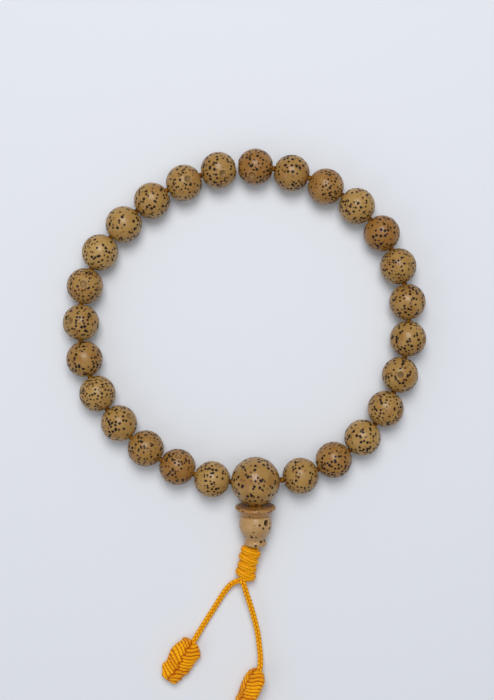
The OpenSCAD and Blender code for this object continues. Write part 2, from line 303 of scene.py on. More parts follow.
def new_group(
    name: str, inputs: dict[str, tuple[str, object]], outputs: dict[str, str]
) -> bpy.types.NodeTree:
    """Makes an empty shader node group.

    Args:
        name: The group's name.
        inputs: Socket type and default value by name.
        outputs: Socket type by name.

    Returns:
        The group, with its input and output nodes placed.
    """
    tree = bpy.data.node_groups.new(name, "ShaderNodeTree")
    for key, (kind, value) in inputs.items():
        socket = tree.interface.new_socket(key, in_out="INPUT", socket_type="NodeSocket" + kind)
        if kind != "Vector":
            socket.default_value = value
    for key, kind in outputs.items():
        tree.interface.new_socket(key, in_out="OUTPUT", socket_type="NodeSocket" + kind)
    tree.nodes.new("NodeGroupInput")
    tree.nodes.new("NodeGroupOutput")
    return tree


def make_star_group() -> bpy.types.NodeTree:
    """Dark dots of a star seed.

    Dots sit where the surface passes close to the random points of a cell pattern. Each has a
    size of its own, and slow noise thins them out in places. The outputs are the dark cores,
    the brown halos round them, the small reddish specks, and the height.

    Returns:
        The group.
    """
    group = new_group(
        "SeedStars",
        {
            "Place": ("Vector", None),
            "Cell": ("Float", 0.8 * MM),
            "Dot": ("Float", 0.3 * MM),
            "Cover": ("Float", 0.95),
        },
        {"Core": "Float", "Halo": "Float", "Speck": "Float", "Height": "Float"},
    )
    n = Nodes(group)
    given, result = group.nodes[0].outputs, group.nodes[1]
    wobble = n.add("TexNoise", {"Vector": given["Place"], "Scale": 1900.0, "Detail": 1.0}).outputs[1]
    shift = n.add("VectorMath", {0: wobble, 1: (0.5, 0.5, 0.5)}, operation="SUBTRACT").outputs[0]
    bent = n.add("VectorMath", {0: shift, 1: (0.22 * MM,) * 3, 2: given["Place"]}, operation="MULTIPLY_ADD")
    scale = n.math("DIVIDE", 1.0, given["Cell"])
    cells = n.add("TexVoronoi", {"Vector": bent.outputs[0], "Scale": scale, "Randomness": 0.85})
    away = n.math("MULTIPLY", cells.outputs["Distance"], given["Cell"])
    luck = n.add("SeparateColor", {0: cells.outputs["Color"]})
    size = n.math("MULTIPLY_ADD", luck.outputs[0], 0.35, 0.65)
    radius = n.math("MULTIPLY", given["Dot"], size)
    thin = n.ease(n.noise(given["Place"], 230.0, 1.0), 0.28, 0.42)
    kept = n.math("LESS_THAN", luck.outputs[1], n.math("MULTIPLY", given["Cover"], thin))
    inner = n.math("MULTIPLY", radius, 0.80)
    core = n.math("MULTIPLY", n.math("SUBTRACT", 1.0, n.ease(away, inner, radius)), kept)
    outer = n.math("MULTIPLY", radius, 1.35)
    halo = n.math("MULTIPLY", n.math("SUBTRACT", 1.0, n.ease(away, inner, outer)), kept)
    fine = n.add("TexVoronoi", {"Vector": bent.outputs[0], "Scale": 1500.0, "Randomness": 1.0})
    chance = n.add("SeparateColor", {0: fine.outputs["Color"]})
    rare = n.math("GREATER_THAN", chance.outputs[0], 0.72)
    speck = n.math("MULTIPLY", n.math("SUBTRACT", 1.0, n.ease(fine.outputs["Distance"], 0.10, 0.19)), rare)
    for key, value in (("Core", core), ("Halo", halo), ("Speck", speck)):
        n.link(value, result.inputs[key])
    height = n.math("MULTIPLY_ADD", core, -1.0, n.math("MULTIPLY", speck, -0.15))
    n.link(height, result.inputs["Height"])
    return group


def make_grain_group() -> bpy.types.NodeTree:
    """Mottling and fine grain of polished seed.

    Slow noise gives warm and pale patches, fast noise stretched along one way gives the grain.

    Returns:
        The group, whose outputs are the warm share, the pale share and the grain.
    """
    group = new_group(
        "SeedGrain",
        {"Place": ("Vector", None), "Patch": ("Float", 330.0), "Grain": ("Float", 2600.0)},
        {"Warm": "Float", "Pale": "Float", "Grain": "Float"},
    )
    n = Nodes(group)
    given, result = group.nodes[0].outputs, group.nodes[1]
    patch = n.add("TexNoise", {"Vector": given["Place"], "Scale": given["Patch"], "Detail": 2.0})
    warm = n.ease(patch.outputs[0], 0.42, 0.72)
    flipped = n.add("Mapping", {"Vector": given["Place"], "Location": (0.013, 0.029, 0.041)})
    other = n.add("TexNoise", {"Vector": flipped.outputs[0], "Scale": given["Patch"], "Detail": 3.0})
    pale = n.ease(other.outputs[0], 0.48, 0.75)
    drawn = n.add("Mapping", {"Vector": given["Place"], "Scale": (1.0, 1.0, 0.22)})
    grain = n.add("TexNoise", {"Vector": drawn.outputs[0], "Scale": given["Grain"], "Detail": 4.0})
    for key, value in (("Warm", warm), ("Pale", pale), ("Grain", grain.outputs[0])):
        n.link(value, result.inputs[key])
    return group


def make_thread_group() -> bpy.types.NodeTree:
    """Threads of braided nylon.

    Fine waves run along the strands, broken up by noise. Height rises on each thread.

    Returns:
        The group, whose outputs are the share of thread, along which the cord's painted highlight and lower
        roughness run, and the height.
    """
    group = new_group(
        "CordThreads",
        {"Place": ("Vector", None), "Fineness": ("Float", 9000.0)},
        {"Thread": "Float", "Height": "Float"},
    )
    n = Nodes(group)
    given, result = group.nodes[0].outputs, group.nodes[1]
    waves = n.add(
        "TexWave",
        {"Vector": given["Place"], "Scale": given["Fineness"], "Distortion": 2.5, "Detail": 2.0},
        wave_type="BANDS",
        bands_direction="DIAGONAL",
    )
    fuzz = n.noise(given["Place"], 5200.0, 4.0)
    thread = n.math("MULTIPLY", waves.outputs["Fac"], n.ease(fuzz, 0.2, 0.75))
    n.link(thread, result.inputs["Thread"])
    height = n.math("ADD", n.math("MULTIPLY", waves.outputs["Fac"], 0.6), fuzz)
    n.link(height, result.inputs["Height"])
    return group


STARS = make_star_group()
GRAIN = make_grain_group()
THREADS = make_thread_group()


# ---------------------------------------------------------------- finishes


class Slot(Enum):
    """Material slots of the record."""

    BEAD = "bead_seed"
    GURU = "guru_seed"
    STUPA = "stupa_seed"
    CORD = "cord"


Colour = tuple[float, float, float, float]


@dataclass(frozen=True)
class SeedFinish:
    """Polished star seed: tan with darker stars, satin, each bead with its own tone."""

    name: str
    base: Colour = (0.355, 0.200, 0.052, 1.0)
    warm: Colour = (0.285, 0.120, 0.022, 1.0)
    pale: Colour = (0.475, 0.300, 0.098, 1.0)
    star: Colour = (0.006, 0.003, 0.002, 1.0)
    halo: Colour = (0.085, 0.034, 0.009, 1.0)
    speck: Colour = (0.17, 0.055, 0.014, 1.0)
    pit: Colour = (0.075, 0.030, 0.010, 1.0)
    cell: float = 0.76 * MM
    dot: float = 0.35 * MM
    cover: float = 0.97
    roughness: float = 0.32
    coat: float = 0.22

    def material(self) -> bpy.types.Material:
        """Builds the material.

        Point attributes "tone" and "pit" tint it, "fine" shrinks the stars, "bare" clears them
        away, and "ring" draws the brown outline of the moon.

        Returns:
            The material.
        """
        made, shader = new_material(self.name)
        n = Nodes(made.node_tree)
        place = n.add("TexCoord").outputs["Object"]
        stars = n.add("Group", node_tree=STARS)
        grain = n.add("Group", node_tree=GRAIN)
        n.link(place, stars.inputs["Place"])
        n.link(place, grain.inputs["Place"])
        fine = n.math("MULTIPLY_ADD", n.attribute("fine"), -0.16, 1.0)
        n.link(n.math("MULTIPLY", fine, self.cell), stars.inputs["Cell"])
        n.link(n.math("MULTIPLY", fine, self.dot), stars.inputs["Dot"])
        stars.inputs["Cover"].default_value = self.cover
        tone = n.attribute("tone")
        pit = n.attribute("pit")
        body = n.mix(n.math("MULTIPLY", grain.outputs["Warm"], 0.75), self.base, self.warm)
        body = n.mix(n.math("MULTIPLY", grain.outputs["Pale"], 0.6), body, self.pale)
        body = n.mix(n.math("MULTIPLY", tone, 0.75, clamp=True), body, self.pale)
        body = n.mix(n.math("MULTIPLY", tone, -0.75, clamp=True), body, self.warm)
        streak = n.ease(grain.outputs["Grain"], 0.35, 0.7)
        body = n.mix(n.math("MULTIPLY", streak, 0.22), body, self.warm)
        body = n.mix(n.math("MULTIPLY", stars.outputs["Speck"], 0.65), body, self.speck)
        bare = n.attribute("bare")
        ring = n.attribute("ring")
        clear = n.math("SUBTRACT", 1.0, bare, clamp=True)
        core = n.math("MULTIPLY", stars.outputs["Core"], clear)
        halo = n.math("MULTIPLY", stars.outputs["Halo"], clear)
        body = n.mix(n.math("MULTIPLY", halo, 0.75), body, self.halo)
        body = n.mix(core, body, self.star)
        body = n.mix(n.math("MULTIPLY", bare, 0.35, clamp=True), body, self.pale)
        body = n.mix(n.math("MULTIPLY", ring, 0.70, clamp=True), body, self.halo)
        # Pit colour: the moon's own darker brown on the beads; on the guru's bores it is painted shade, in
        # the stupa's hole partly painted shade.
        body = n.mix(n.math("MULTIPLY", pit, 0.90, clamp=True), body, self.pit)
        n.link(body, shader.inputs["Base Color"])
        rough = n.math("MULTIPLY_ADD", core, 0.25, self.roughness)
        rough = n.math("MULTIPLY_ADD", grain.outputs["Grain"], 0.12, rough)
        n.link(rough, shader.inputs["Roughness"])
        height = n.math("MULTIPLY_ADD", grain.outputs["Grain"], 0.10, stars.outputs["Height"])
        bump = n.add("Bump", {"Strength": 0.55, "Distance": 0.05 * MM, "Height": height})
        n.link(bump.outputs[0], shader.inputs["Normal"])
        dull = n.math("SUBTRACT", 1.0, n.math("MAXIMUM", core, pit), clamp=True)
        n.link(n.math("MULTIPLY", dull, self.coat), shader.inputs["Coat Weight"])
        shader.inputs["Specular IOR Level"].default_value = 0.26
        shader.inputs["Coat Roughness"].default_value = 0.13
        return made


@dataclass(frozen=True)
class CordFinish:
    """Braided nylon cord: a painted highlight on the crowns of the stitches, painted shade (deep orange) in
    the grooves between them.
    """

    name: str
    # crown is the painted highlight colour, groove the painted shade colour, middle the cord's own orange.
    crown: Colour = (1.0, 0.50, 0.004, 1.0)
    middle: Colour = (0.85, 0.315, 0.002, 1.0)
    groove: Colour = (0.40, 0.06, 0.0, 1.0)
    fineness: float = 9000.0
    has_stitches: bool = True

    def material(self) -> bpy.types.Material:
        """Builds the material; the point attribute "crown" is 1 on a stitch and 0 between."""
        made, shader = new_material(self.name)
        n = Nodes(made.node_tree)
        place = n.add("TexCoord").outputs["Object"]
        threads = n.add("Group", node_tree=THREADS)
        n.link(place, threads.inputs["Place"])
        threads.inputs["Fineness"].default_value = self.fineness
        if self.has_stitches:
            crown = n.attribute("crown")
        else:
            crown = n.ease(n.noise(place, 1400.0, 1.0), 0.30, 0.62)
        # Painted shade: the colour darkens from the middle colour to the groove colour in the grooves
        # between stitches.
        body = n.mix(n.ease(crown, 0.15, 0.75), self.groove, self.middle)
        # Painted highlight: on the crowns of the stitches, along the threads, the colour turns to the
        # bright crown colour.
        painted_highlight_share = n.math("MULTIPLY", n.ease(crown, 0.50, 0.92), n.ease(threads.outputs["Thread"], 0.0, 0.30))
        body = n.mix(painted_highlight_share, body, self.crown)
        n.link(body, shader.inputs["Base Color"])
        rough = n.math("MULTIPLY_ADD", threads.outputs["Thread"], -0.12, 0.47)
        n.link(rough, shader.inputs["Roughness"])
        bump = n.add("Bump", {"Strength": 0.5, "Distance": 0.03 * MM, "Height": threads.outputs["Height"]})
        n.link(bump.outputs[0], shader.inputs["Normal"])
        shader.inputs["Sheen Weight"].default_value = 0.05
        shader.inputs["Sheen Tint"].default_value = (1.0, 0.75, 0.2, 1.0)
        shader.inputs["Specular IOR Level"].default_value = 0.32
        shader.inputs["Specular Tint"].default_value = (1.0, 0.78, 0.25, 1.0)
        return made


@dataclass(frozen=True)
class FloorFinish:
    """Plain pale tabletop."""

    name: str = "pale_floor"
    colour: Colour = (0.74, 0.765, 0.81, 1.0)

    def material(self) -> bpy.types.Material:
        """Builds the material, one even matt colour."""
        made, shader = new_material(self.name)
        shader.inputs["Base Color"].default_value = self.colour
        shader.inputs["Roughness"].default_value = 0.7
        shader.inputs["Specular IOR Level"].default_value = 0.25
        return made


# ---------------------------------------------------------------- where things are


@dataclass
class Layout:
    """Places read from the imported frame's joints."""

    joints: dict[str, dict] = field(default_factory=lambda: {j["name"]: j for j in frame["joints"]})

    def place(self, joint: str) -> np.ndarray:
        """Pivot of a joint."""
        return np.array(self.joints[joint]["pos_m"], float)

    def axis(self, joint: str) -> np.ndarray:
        """Axis of a joint, of length 1."""
        return unit(np.array(self.joints[joint]["axis"], float))

    def bead_numbers(self) -> list[int]:
        """Numbers of the small beads, from the first to the last on the loop."""
        return sorted(int(name[-2:]) for name in self.joints if name.startswith("bead_spin_"))


LAYOUT = Layout()


# ---------------------------------------------------------------- camera, light and floor


@dataclass
class Studio:
    """Camera straight above the mala, soft light from above and behind it, and a pale floor."""

    look_at: tuple[float, float, float] = (0.55 * MM, -0.50 * MM, 4.0 * MM)
    distance: float = 0.300
    seen_height: float = 154.8 * MM
    sensor: float = 36.0
    floor_size: float = 4.0

    # Each lamp's name, place, size and power.
    LAMPS = (
        ("key_lamp", (-0.02, 0.26, 0.56), 0.30, 2.15),
        ("top_lamp", (0.14, 0.06, 0.80), 0.60, 1.3),
        ("fill_lamp", (-0.45, -0.30, 0.45), 0.5, 0.6),
    )

    def camera(self) -> None:
        """Places the camera; its lens shows seen_height at the height of the beads' middles."""
        data = bpy.data.cameras.new("camera")
        data.sensor_width = self.sensor
        data.lens = self.sensor * self.distance / self.seen_height
        data.clip_start, data.clip_end = 0.01, 50.0
        made = bpy.data.objects.new("camera", data)
        x, y, z = self.look_at
        made.location = (x, y, z + self.distance)
        bpy.context.scene.collection.objects.link(made)
        bpy.context.scene.camera = made

    def lamp(self, name: str, place: tuple[float, float, float], size: float, power: float) -> None:
        """Adds a square soft lamp aimed at the middle of the mala."""
        data = bpy.data.lights.new(name, "AREA")
        data.shape = "SQUARE"
        data.size = size
        data.energy = power
        made = bpy.data.objects.new(name, data)
        made.location = place
        aim = np.array(place) - np.array(self.look_at)
        flat = math.hypot(aim[0], aim[1])
        made.rotation_euler = (math.atan2(flat, aim[2]), 0.0, math.atan2(aim[0], -aim[1]))
        bpy.context.scene.collection.objects.link(made)

    def build(self) -> None:
        """Makes the lamps, the surrounding light and the floor."""
        for lamp in self.LAMPS:
            self.lamp(*lamp)
        world = bpy.data.worlds.new("studio")
        world.use_nodes = True
        sky = world.node_tree.nodes["Background"]
        sky.inputs["Color"].default_value = (0.93, 0.96, 1.0, 1.0)
        sky.inputs["Strength"].default_value = 0.30
        bpy.context.scene.world = world
        bpy.context.scene.view_settings.view_transform = "Standard"
        half = self.floor_size / 2
        mesh = bpy.data.meshes.new("floor")
        corners = [(-half, -half, 0.0), (half, -half, 0.0), (half, half, 0.0), (-half, half, 0.0)]
        mesh.from_pydata(corners, [], [(0, 1, 2, 3)])
        floor = bpy.data.objects.new("floor", mesh)
        bpy.context.scene.collection.objects.link(floor)
        dress(floor, FloorFinish().material())


# ---------------------------------------------------------------- braided cord


@dataclass
class Braid:
    """A round braid: columns of slanted stitches, each column half a stitch from the next."""

    diameter: float = 1.34 * MM
    columns: int = 4
    pitch: float = 0.9 * MM
    rise: float = 0.17 * MM
    slant: float = 0.55
    sides: int = 64
    rings_per_stitch: int = 9

    def crown(self, turn: np.ndarray, run: np.ndarray) -> np.ndarray:
        """Height of the stitches.

        A column is a share of the turn, and u runs from -1 to 1 across it. A stitch is a pitch
        of the length, and v runs from -1 to 1 along it, slanted by u one way in even columns
        and the other way in odd ones. The height is the square root of (1 - u^4)(1 - v^2).

        Args:
            turn: Share of a turn round the cord.
            run: Distance along the cord.

        Returns:
            Heights from 0 to 1.
        """
        count = turn * self.columns
        column = np.floor(count)
        u = 2.0 * (count - column) - 1.0
        odd = np.mod(column, 2.0)
        phase = run / self.pitch + 0.5 * odd + 0.5 * self.slant * u * (1.0 - 2.0 * odd)
        v = 2.0 * (phase - np.floor(phase)) - 1.0
        return np.sqrt(np.clip((1.0 - u**4) * (1.0 - v * v), 0.0, 1.0))

    def tube(
        self,
        name: str,
        path: np.ndarray,
        reference: np.ndarray,
        closed: bool = False,
        flatten: float = 1.0,
    ) -> bpy.types.Object:
        """Carries the braid along a path.

        Round each path point, the surface lies at cos(a) times the side and sin(a) times the
        reference direction, times the cord's radius less the rise of the stitches, plus
        the rise times their height.

        Args:
            name: Name of the piece.
            path: Points along the middle of the cord, evenly spaced.
            reference: A direction for each point that lies across the path.
            closed: Whether the path comes back to its start.
            flatten: Thickness along the reference direction, as a share of the width.

        Returns:
            The piece.
        """
        if closed:
            tangent = unit(np.roll(path, -1, axis=0) - np.roll(path, 1, axis=0))
        else:
            tangent = unit(np.gradient(path, axis=0))
        across = unit(reference - (reference * tangent).sum(1, keepdims=True) * tangent)
        side = np.cross(tangent, across)
        run = distances(path)
        if closed:
            whole = run[-1] + np.linalg.norm(path[0] - path[-1])
            run = run * (round(whole / self.pitch) * self.pitch / whole)
        turn = np.arange(self.sides) / self.sides
        height = self.crown(turn[None, :] + 0.0 * run[:, None], run[:, None] + 0.0 * turn[None, :])
        radius = self.diameter / 2 - self.rise + self.rise * height
        angle = 2.0 * math.pi * turn
        ring = (
            np.cos(angle)[None, :, None] * side[:, None, :]
            + flatten * np.sin(angle)[None, :, None] * across[:, None, :]
        )
        points = path[:, None, :] + radius[:, :, None] * ring
        caps = None if closed else (path[0], path[-1])
        # The stitch heights also go to the material as crown, which paints a highlight on the crowns and
        # shade in the grooves.
        return surface(name, points, caps, {"crown": height}, along=run)

    def rings(self, length: float) -> int:
        """Number of rings that a length of cord needs."""
        return max(12, int(round(length / self.pitch * self.rings_per_stitch)))


# ---------------------------------------------------------------- seed beads


@dataclass
class SeedBeads:
    """The small beads of the loop, each drilled, with one round moon pit."""

    diameter: float = 8.03 * MM
    bore: float = 2.0 * MM
    mouth: float = 0.28 * MM
    moon_width: float = 1.4 * MM
    moon_depth: float = 0.40 * MM
    moon_rim: float = 0.03 * MM
    unevenness: float = 0.02 * MM
    tone_spread: float = 0.45
    arc_points: int = 100
    columns: int = 112
    seed: int = 26

    # Pit of each bead: [angle from the bore, angle round the bore from the top].
    MOONS = (
        (100, -60), (80, -40), (90, 170), (95, -50), (90, 200), (80, 150),
        (85, 30), (85, 0), (80, 50), (90, 160), (100, 190), (75, 0), (80, -20),
        (100, -35), (90, 180), (85, 140), (95, 210), (90, 170), (80, 190),
        (90, 150), (90, 55), (90, -5), (100, 45), (90, 175), (95, 205), (85, 160),
    )

    def profile(self) -> tuple[np.ndarray, np.ndarray, np.ndarray]:
        """Outline of a drilled ball, closed on itself.

        From one mouth to the other it is an arc of the ball. Inside, a quarter circle of the
        mouth's size leads to the bore's wall, which runs straight to the other mouth.

        Returns:
            Distance from the bore's axis, place along it, and 1 on the arc and 0 inside.
        """
        r, bore_r = self.diameter / 2, self.bore / 2
        open_r = bore_r + self.mouth
        start = math.asin(open_r / r)
        arc = np.linspace(start, math.pi - start, self.arc_points)
        lip = np.linspace(0.0, math.pi / 2, 6)[1:]
        reach = r * math.cos(start)
        lip_out = open_r - self.mouth * np.sin(lip)
        lip_in = reach - self.mouth * (1.0 - np.cos(lip))
        wall = np.linspace(-1.0, 1.0, 8)[1:-1] * (reach - self.mouth)
        out = np.concatenate([r * np.sin(arc), lip_out, np.full(len(wall), bore_r), lip_out[::-1]])
        place = np.concatenate([r * np.cos(arc), -lip_in, wall, lip_in[::-1]])
        outside = np.concatenate([np.ones(len(arc)), np.zeros(2 * len(lip) + len(wall))])
        return out, place, outside

    def piece(self, number: int, draws: np.random.Generator) -> bpy.types.Object:
        """Builds one bead.

        The outline turns about the bore. Columns crowd together towards the moon pit: the turn
        is t less 0.6 sin t. The skin is pushed out by a few slow waves and in by the pit, whose
        depth is the square root of one less the squared distance, in pit radii.

        Args:
            number: Number of the bead on the loop, from 1.
            draws: Source of random numbers.

        Returns:
            The piece.
        """
        joint = f"bead_spin_{number:02d}"
        centre, along = LAYOUT.place(joint), LAYOUT.axis(joint)
        left = np.cross(UP, along)
        tip, turn = np.radians(self.MOONS[number - 1])
        out, place, outside = self.profile()
        angle = crowded_angles(turn, self.columns)
        radial = np.cos(angle)[:, None] * UP + np.sin(angle)[:, None] * left
        points = place[:, None, None] * along + out[:, None, None] * radial[None, :, :]
        skin = unit(points)
        moon = math.cos(tip) * along + math.sin(tip) * (math.cos(turn) * UP + math.sin(turn) * left)
        away = np.arccos(np.clip(skin @ moon, -1.0, 1.0)) * self.diameter / self.moon_width
        pit = np.sqrt(np.clip(1.0 - away**2, 0.0, 1.0)) * outside[:, None]
        rim = bell(away - 1.12, 0.16) * outside[:, None]
        waves = draws.normal(size=(4, 3))
        bulge = sum(np.sin(2.0 * (skin @ w) + 3.0 * w[0]) for w in waves) / 4.0
        shift = self.unevenness * (bulge - 0.4) * outside[:, None]
        shift = shift - self.moon_depth * pit + self.moon_rim * rim
        points = centre + points + shift[:, :, None] * skin
        tone = float(np.clip(draws.normal(0.0, self.tone_spread), -1.0, 1.0))
        fine = float(draws.uniform(-0.9, 0.9))
        dark = float(draws.uniform(0.15, 0.9))
        fields = {
            "tone": np.full(pit.shape, tone),
            "fine": np.full(pit.shape, fine),
            "pit": dark * smooth_step(0.35, 0.95, pit),
            "bare": 1.0 - smooth_step(1.35, 1.65, away),
            "ring": bell(away - 0.98, 0.17),
        }
        return surface(f"seed_bead_{number:02d}", points, None, fields)

    def build(self) -> None:
        """Builds and dresses all the beads."""
        draws = np.random.default_rng(self.seed)
        finish = SeedFinish("seed").material()
        for number in LAYOUT.bead_numbers():
            bead = self.piece(number, draws)
            dress(bead, finish)
            body = f"bead_{number:02d}"
            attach(bead, body)
            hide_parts(body)
            LOG.info("%s: %d faces", bead.name, len(bead.data.polygons))


@dataclass
class GuruBead:
    """The large bead, bored at both sides for the cord and below for the tassel."""

    diameter: float = 10.8 * MM
    side_bore: float = 2.0 * MM
    stem_bore: float = 4.3 * MM
    bore_depth: float = 1.6 * MM
    bore_lip: tuple[float, float] = (-0.05 * MM, 0.22 * MM)
    unevenness: float = 0.03 * MM
    tone: float = 0.1
    rows: int = 150
    columns: int = 240
    seed: int = 5

    def build(self) -> None:
        """Builds and dresses the bead.

        A ball whose poles are at its top and bottom. Each bore is a steep dip: in by the depth
        inside the bore's radius, easing out over a rounded lip.
        """
        centre = LAYOUT.place("tassel_swing")
        r = self.diameter / 2
        tilt = np.linspace(0.0, math.pi, self.rows + 2)[1:-1]
        turn = np.linspace(0.0, 2.0 * math.pi, self.columns, endpoint=False)
        skin = np.stack(
            [
                np.sin(tilt)[:, None] * np.cos(turn)[None, :],
                np.sin(tilt)[:, None] * np.sin(turn)[None, :],
                np.cos(tilt)[:, None] + 0.0 * turn[None, :],
            ],
            axis=-1,
        )
        bores = [
            (unit(LAYOUT.place("loop_bend_01") - centre), self.side_bore / 2),
            (unit(LAYOUT.place("loop_bend_26") - centre), self.side_bore / 2),
            (LAYOUT.axis("stupa_spin"), self.stem_bore / 2),
        ]
        draws = np.random.default_rng(self.seed)
        waves = draws.normal(size=(4, 3))
        bulge = sum(np.sin(2.0 * (skin @ w) + w[1]) for w in waves) / 4.0
        shift = self.unevenness * (bulge - 0.6)
        dark = np.zeros(skin.shape[:2])
        for way, bore_r in bores:
            away = np.arccos(np.clip(skin @ way, -1.0, 1.0)) * r
            dip = 1.0 - smooth_step(bore_r + self.bore_lip[0], bore_r + self.bore_lip[1], away)
            shift = shift - self.bore_depth * dip
            dark = np.maximum(dark, dip)
        points = centre + (r + shift)[:, :, None] * skin
        caps = (centre + np.array([0.0, 0.0, r]), centre - np.array([0.0, 0.0, r]))
        # pit darkens the insides of the bores: painted shade in the holes.
        fields = {"tone": np.full(dark.shape, self.tone), "pit": 0.6 * dark}
        guru = surface("guru_seed_bead", points, caps, fields)
        dress(guru, SeedFinish("guru_seed", cell=0.94 * MM, dot=0.42 * MM, coat=0.4).material())
        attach(guru, "guru")
        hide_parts("guru_bead")
        LOG.info("%s: %d faces", guru.name, len(guru.data.polygons))


@dataclass
class Stupa:
    """The turned seat, vase and foot below the guru, in one piece, with a round hole."""

    guru_r: float = 5.4 * MM
    seat_gap: float = 0.3 * MM
    saucer_at: float = 5.5 * MM
    saucer_r: float = 4.5 * MM
    saucer_rim: float = 1.1 * MM
    rim_half: float = 0.42 * MM
    rim_out: float = 0.45 * MM
    cone: float = 1.1 * MM
    cone_bulge: float = 0.18 * MM
    neck_r: float = 3.2 * MM
    belly_r: float = 3.65 * MM
    belly_drop: float = 2.0 * MM
    waist_drop: float = 3.2 * MM
    waist_r: float = 2.3 * MM
    foot_r: float = 2.5 * MM
    foot_h: float = 1.5 * MM
    foot_half: float = 0.55 * MM
    foot_round: float = 0.28 * MM
    bore_r: float = 1.4 * MM
    hole_r: float = 0.7 * MM
    hole_depth: float = 1.0 * MM
    hole_turn: float = math.radians(46.0)
    hole_rise: float = 0.9 * MM
    columns: int = 220
    rows: int = 330

    def outline(self) -> np.ndarray:
        """Outline from the seat down the outside and back up the bore.

        The seat is an arc that follows the guru. The rim is a half round, the cone a hollow
        curve, the belly and the waist are quarter waves, and the foot is a half round.

        Returns:
            Rows of [distance from the axis, distance from the guru's middle].
        """
        seat_r = self.guru_r + self.seat_gap
        seat_out = self.saucer_r - self.rim_out
        rim_end = self.saucer_at + self.saucer_rim
        neck_at = rim_end + self.cone
        belly_at = neck_at + self.belly_drop
        waist_at = belly_at + self.waist_drop
        foot_end = waist_at + self.foot_h
        t = np.linspace(0.0, 1.0, 16)
        inner_r = np.linspace(self.bore_r, 1.75 * MM, 4)
        seat = np.stack([inner_r, np.sqrt(seat_r**2 - inner_r**2)], axis=1)
        flat = np.array([[2.1 * MM, self.saucer_at + 0.02 * MM], [seat_out, self.saucer_at]])
        bend = np.pi * t[1:]
        rim_mid, rim_half = self.saucer_at + self.rim_half, self.rim_half
        rim_edge = seat_out + self.rim_out * np.sin(bend)
        rim = np.stack([rim_edge, rim_mid - rim_half * np.cos(bend)], axis=1)
        hollow = np.stack(
            [
                seat_out - (seat_out - self.neck_r + 0.10 * MM) * t[1:] ** 0.8,
                rim_mid + rim_half + (neck_at - rim_mid - rim_half) * t[1:],
            ],
            axis=1,
        )
        hollow[:, 0] += self.cone_bulge * np.sin(math.pi * t[1:])
        swell = np.pi / 2 * t
        belly = np.stack(
            [self.neck_r + (self.belly_r - self.neck_r) * np.sin(swell), neck_at + self.belly_drop * t],
            axis=1,
        )
        waist = np.stack(
            [
                self.waist_r + (self.belly_r - self.waist_r) * np.cos(swell[1:]) ** 1.1,
                belly_at + self.waist_drop * t[1:],
            ],
            axis=1,
        )
        foot_mid = waist_at + 0.95 * MM
        flare = np.array([[self.waist_r + 0.02 * MM, waist_at + 0.25 * MM]])
        foot_edge = self.foot_r - self.foot_round + self.foot_round * np.sin(bend)
        foot = np.stack([foot_edge, foot_mid - self.foot_half * np.cos(bend)], axis=1)
        under = np.array([[1.7 * MM, foot_end], [self.bore_r, foot_end - 0.2 * MM]])
        wall = np.linspace(foot_end - 0.6 * MM, seat[0, 1] + 0.3 * MM, 6)
        bore = np.stack([np.full(len(wall), self.bore_r), wall], axis=1)
        return np.concatenate([seat, flat, rim, hollow, belly, waist, flare, foot, under, bore])

    def build(self) -> None:
        """Builds and dresses the stupa.

        The outline turns about the stem. Columns crowd towards the hole, where the skin moves
        straight in by the hole's depth, over a narrow lip.
        """
        guru, down = LAYOUT.place("stupa_spin"), LAYOUT.axis("stupa_spin")
        right = np.array([1.0, 0.0, 0.0])
        rise = np.cross(right, down)
        rise = rise if rise[2] > 0.0 else -rise
        outline = self.outline()
        closed = np.concatenate([outline, outline[:1]])
        run = distances(closed)
        at = np.linspace(0.0, run[-1], self.rows, endpoint=False)
        out, drop = np.interp(at, run, closed[:, 0]), np.interp(at, run, closed[:, 1])
        angle = crowded_angles(self.hole_turn, self.columns)
        radial = np.cos(angle)[:, None] * right + np.sin(angle)[:, None] * rise
        belly_at = self.saucer_at + self.saucer_rim + self.cone + self.belly_drop
        hole_way = math.cos(self.hole_turn) * right + math.sin(self.hole_turn) * rise
        points = drop[:, None, None] * down + out[:, None, None] * radial[None, :, :]
        offset = points - (belly_at - self.hole_rise) * down
        depth_along = offset @ hole_way
        away = np.linalg.norm(offset - depth_along[:, :, None] * hole_way, axis=-1)
        outer = (depth_along > 0.5 * self.belly_r) & (out[:, None] > 1.2 * self.bore_r)
        sunk = (1.0 - smooth_step(self.hole_r - 0.06 * MM, self.hole_r + 0.05 * MM, away)) * outer
        lip = bell(away - self.hole_r - 0.16 * MM, 0.10 * MM) * outer
        points = guru + points - (self.hole_depth * sunk)[:, :, None] * hole_way
        above = smooth_step(7.3 * MM, 7.9 * MM, drop)[:, None]
        # The lip term paints a pale ring round the hole, a painted highlight on its rim; the rest of the
        # tone makes the parts past the saucer paler than the saucer.
        tone = np.broadcast_to(-0.45 + 1.1 * above + 1.2 * lip, sunk.shape)
        bare = (1.0 - smooth_step(self.hole_r + 0.2 * MM, self.hole_r + 0.4 * MM, away)) * outer
        fields = {"tone": tone, "pit": 1.15 * sunk, "bare": bare}
        made = surface("turned_stupa", points, None, fields)
        finish = SeedFinish(
            "stupa_seed",
            base=(0.41, 0.225, 0.075, 1.0),
            warm=(0.33, 0.13, 0.028, 1.0),
            pale=(0.52, 0.34, 0.155, 1.0),
            # Near-black pit: the moon's own dark brown, deepened as painted shade inside the hole.
            pit=(0.03, 0.012, 0.005, 1.0),
            cell=0.95 * MM,
            dot=0.33 * MM,
            cover=0.60,
            roughness=0.30,
            coat=0.30,
        )
        dress(made, finish.material())
        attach(made, "stupa")
        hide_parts("stupa")
        LOG.info("%s: %d faces", made.name, len(made.data.polygons))


# ---------------------------------------------------------------- knots and tails


